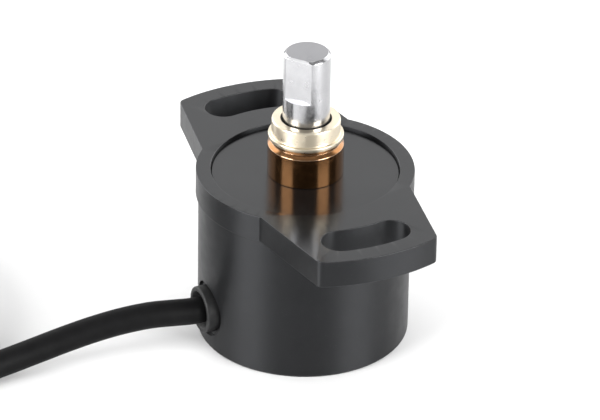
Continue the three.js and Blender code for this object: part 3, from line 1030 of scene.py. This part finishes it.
def tube_mesh(grown, points, radius, sides=16):
    """Adds a closed tube along points to a bmesh."""
    normal = Vector((0, 0, 1))
    rings = []
    for k, here in enumerate(points):
        ahead = points[min(k + 1, len(points) - 1)] - points[max(k - 1, 0)]
        ahead.normalize()
        normal = (normal - ahead * normal.dot(ahead)).normalized()
        side = ahead.cross(normal)
        ring = []
        for j in range(sides):
            angle = 2 * math.pi * j / sides
            offset = (normal * math.cos(angle) + side * math.sin(angle)) * radius
            ring.append(grown.verts.new(here + offset))
        rings.append(ring)
    for lower, upper in zip(rings, rings[1:]):
        join_rings(grown, lower, upper)
    grown.faces.new(rings[0])
    grown.faces.new(rings[-1])


def insulated_part(points):
    """The points of a core up to its stripped end."""
    limit = sum((b - a).length for a, b in zip(points, points[1:])) - STRIPPED
    kept, reached = [points[0]], 0.0
    for a, b in zip(points, points[1:]):
        reached += (b - a).length
        if reached > limit:
            break
        kept.append(b)
    return kept


def strand_paths(root, tip):
    """Strands twisted from root to tip, and last the straight one that they surround."""
    axis = (tip - root).normalized()
    side = axis.cross(Vector((0, 0, 1))).normalized()
    up = side.cross(axis)
    paths = []
    for k in range(OUTER_STRANDS + 1):
        spread = 0 if k == OUTER_STRANDS else STRAND_SPREAD
        path = []
        for step in range(STRAND_STEPS + 1):
            t = step / STRAND_STEPS
            angle = 2 * math.pi * (k / OUTER_STRANDS + STRAND_TURNS * t)
            centre = root + (tip - root) * t
            path.append(centre + (side * math.cos(angle) + up * math.sin(angle)) * spread)
        paths.append(path)
    return paths


def core(node_name, route):
    """One insulated wire with a stripped, twisted and tinned end."""
    inside_jacket = Vector(route[0]) - Vector((0, CORE_START, 0))
    points = smooth_route([inside_jacket, *route])
    insulated = insulated_part(points)
    grown = bmesh.new()
    tube_mesh(grown, insulated, CORE_R)
    wire = made_piece(node_name.replace("core", "lead"), grown, [node_name])
    root = insulated[-1] - (insulated[-1] - insulated[-2]) * 0.5
    strands = bmesh.new()
    for path in strand_paths(root, points[-1]):
        tube_mesh(strands, path, STRAND_R, STRAND_SIDES)
    tip = made_piece(node_name.replace("core", "strands"), strands, [], slot="nickel")
    return [wire, tip]


def tie_bends(inner, outer, foot, top):
    """The centres of the band's four bends, each with the directions outward from it."""
    left, right = inner + CABLE_R, outer - CABLE_R
    low, high = foot + CABLE_R, top - CABLE_R
    bends = []
    for quarter, middle in enumerate(((right, high), (left, high), (left, low), (right, low))):
        for k in range(TIE_STEPS + 1):
            outward = polar(1, math.pi / 2 * (quarter + k / TIE_STEPS))
            bends.append((Vector(middle), outward))
    return bends


def tie_section():
    """The band's outline, as (outward, across), with its corners cut off."""
    wide, narrow = TIE_HALF_WIDTH, TIE_HALF_WIDTH - TIE_CHAMFER
    thick, thin = TIE_BAND, TIE_BAND - TIE_CHAMFER
    return [
        (0, -narrow),
        (0, narrow),
        (TIE_CHAMFER, wide),
        (thin, wide),
        (thick, narrow),
        (thick, -narrow),
        (thin, -wide),
        (TIE_CHAMFER, -wide),
    ]


def tie_band(grown, bends):
    """Adds the closed band of the tie to a bmesh, in the plane of X and Z."""
    rings = []
    for middle, outward in bends:
        ring = []
        for out, across in tie_section():
            flat = middle + outward * (CABLE_R + out)
            ring.append(grown.verts.new((flat.x, across, flat.y)))
        rings.append(ring)
    for lower, upper in zip(rings, rings[1:] + rings[:1]):
        join_rings(grown, lower, upper)


def cable_tie():
    """A nylon tie hugging the coil, with its head on top outside."""
    inner = COIL_INNER - CABLE_R - CLEARANCE
    outer = COIL_OUTER + CABLE_R + CLEARANCE
    foot = coil_low.z - TIE_FOOT_CLEARANCE
    top = coil_high.z + CLEARANCE
    grown = bmesh.new()
    tie_band(grown, tie_bends(inner, outer, foot, top))
    head_low = Vector((outer - TIE_HEAD_LENGTH, -TIE_HEAD_HALF_WIDTH, top + SEATING))
    head_high = Vector((outer, TIE_HEAD_HALF_WIDTH, top + TIE_HEAD_TOP))
    rounded_block(grown, head_low, head_high)
    turn = Matrix.Translation((COIL_X, COIL_Y, 0)) @ Matrix.Rotation(TIE_ANGLE, 4, "Z")
    bmesh.ops.transform(grown, matrix=turn, verts=grown.verts)
    return made_piece("nylon_tie", grown, ["cable_tie"])


def rounded_block(grown, low, high):
    """Adds the head of the tie to a bmesh, as a block with rounded edges."""
    made = bmesh.ops.create_cube(grown, size=1)["verts"]
    for vertex in made:
        place = [(low[i] + high[i]) / 2 + vertex.co[i] * (high[i] - low[i]) for i in range(3)]
        vertex.co = Vector(place)
    edges = list({edge for vertex in made for edge in vertex.link_edges})
    bmesh.ops.bevel(
        grown, geom=edges, offset=TIE_HEAD_EDGE, segments=3, affect="EDGES", profile=0.5
    )


def kept_nodes():
    """Inner CAD nodes stay: they get softened edges and their slot's material."""
    for name, shown in frame["nodes"].items():
        if name in replaced:
            continue
        weld = shown.modifiers.new("weld", "WELD")
        weld.merge_threshold = WELD_DISTANCE * MM
        soft = shown.modifiers.new("edges", "BEVEL")
        soft.width = KEPT_EDGE * MM
        soft.segments = 2
        soft.limit_method = "ANGLE"
        soft.angle_limit = SHARP_ANGLE
        slot = shown.material_slots[0]
        slot.link = "OBJECT"
        slot.material = materials[slot_of[name]]


def floor():
    grown = bmesh.new()
    bmesh.ops.create_grid(grown, x_segments=2, y_segments=2, size=FLOOR_REACH)
    mesh = bpy.data.meshes.new("floor")
    grown.to_mesh(mesh)
    grown.free()
    made = add_object("floor", mesh)
    mesh.materials.append(floor_material())


camera()
cable = whole_cable()
gland = cable_gland()
tie = cable_tie()
cores = []
for core_name, core_route in CORE_ROUTES.items():
    cores += core(core_name, core_route)
housing()
mounting_flange()
bearing_bush()
seal_case()
shaft_seal()
shaft()
base_closure()
kept_nodes()
floor()
studio()
